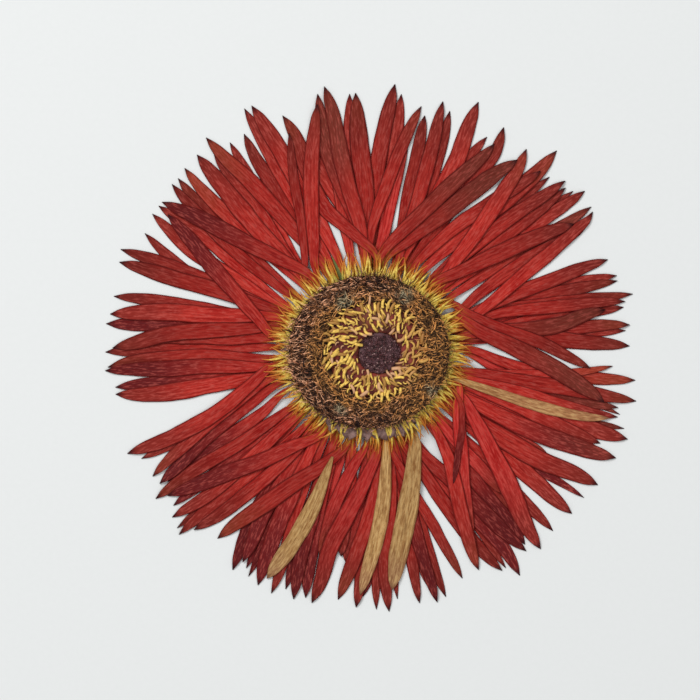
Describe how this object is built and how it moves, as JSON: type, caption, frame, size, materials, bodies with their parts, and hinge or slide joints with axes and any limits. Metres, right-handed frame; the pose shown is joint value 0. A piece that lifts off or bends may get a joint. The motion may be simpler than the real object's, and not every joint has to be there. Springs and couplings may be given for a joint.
{
  "type": "pressed gerbera flower head",
  "caption": "Pressed and dried daisy-like flower head lying flat: crowded deep red ray florets, some faded tan, round a dark fuzzy disc with a golden anther crown.",
  "frame": {"origin": "bottom centre of the bounding box of the flower, on the surface it lies on", "axes": "+Z up out of the flower's face, +X to the right and +Y up as the flower is seen from above"},
  "size_m": [0.1132, 0.1124, 0.0049],
  "materials": {
    "petal_red": "dried ray florets, deep red with darker veins and edges, matte",
    "petal_bright": "dried ray florets, clearer red, matte",
    "petal_dark": "dried ray florets turned maroon to brown violet, matte",
    "petal_rust": "dried ray florets with a rust orange flush, matte",
    "petal_tan": "faded ray florets, tan with brown mottling, matte",
    "bracts": "dried involucral bracts, olive green to brown, papery",
    "stem": "cut stem scar, brown and fibrous",
    "receptacle": "dried receptacle, olive brown",
    "claws": "golden yellow claws and corolla tips, satin",
    "pappus": "dark brown pappus bristles with pinkish tan tips, fuzzy",
    "anthers": "golden yellow curled anthers, matte",
    "eye": "unopened central buds, purple black, granular"
  },
  "bodies": {
    "root": {"anther_ring": "anthers", "claw_fringe": "claws", "eye": "eye", "inner_bracts": "bracts", "outer_bracts": "bracts", "pappus_ring": "pappus", "ray_fan_1_1": "petal_red", "ray_fan_1_2": "petal_red", "ray_fan_1_3": "petal_red", "ray_fan_1_4": "petal_red", "ray_fan_1_5": "petal_red", "ray_fan_2_1": "petal_red", "ray_fan_2_2": "petal_red", "ray_fan_2_3": "petal_red", "ray_fan_2_4": "petal_red", "ray_fan_2_5": "petal_red", "ray_fan_3_1": "petal_red", "ray_fan_3_2": "petal_red", "ray_fan_3_3": "petal_red", "ray_fan_3_4": "petal_red", "ray_fan_3_5": "petal_red", "ray_fan_4_1": "petal_red", "ray_fan_4_2": "petal_red", "ray_fan_4_3": "petal_red", "ray_fan_4_4": "petal_red", "ray_fan_4_5": "petal_red", "ray_floret_a04": "petal_dark", "ray_floret_a06": "petal_red", "ray_floret_a12": "petal_red", "ray_floret_a15": "petal_red", "ray_floret_b06": "petal_dark", "ray_floret_b08": "petal_dark", "ray_floret_c03": "petal_red", "ray_floret_c05": "petal_dark", "ray_floret_c07": "petal_red", "ray_floret_c08": "petal_red", "ray_floret_c09": "petal_red", "ray_floret_d05": "petal_dark", "ray_floret_d08": "petal_dark", "ray_floret_e05": "petal_red", "ray_floret_f01": "petal_red", "ray_floret_f06": "petal_dark", "ray_floret_f12": "petal_rust", "ray_floret_h03": "petal_red", "ray_floret_h06": "petal_red", "ray_floret_k01": "petal_dark", "ray_floret_m01": "petal_bright", "ray_floret_m11": "petal_red", "ray_floret_m12": "petal_dark", "ray_floret_n01": "petal_bright", "ray_floret_t01": "petal_tan", "ray_floret_t02": "petal_tan", "ray_floret_t03": "petal_tan", "ray_floret_t04": "petal_tan", "receptacle": "receptacle", "stem_scar": "stem"}
  },
  "joints": []
}
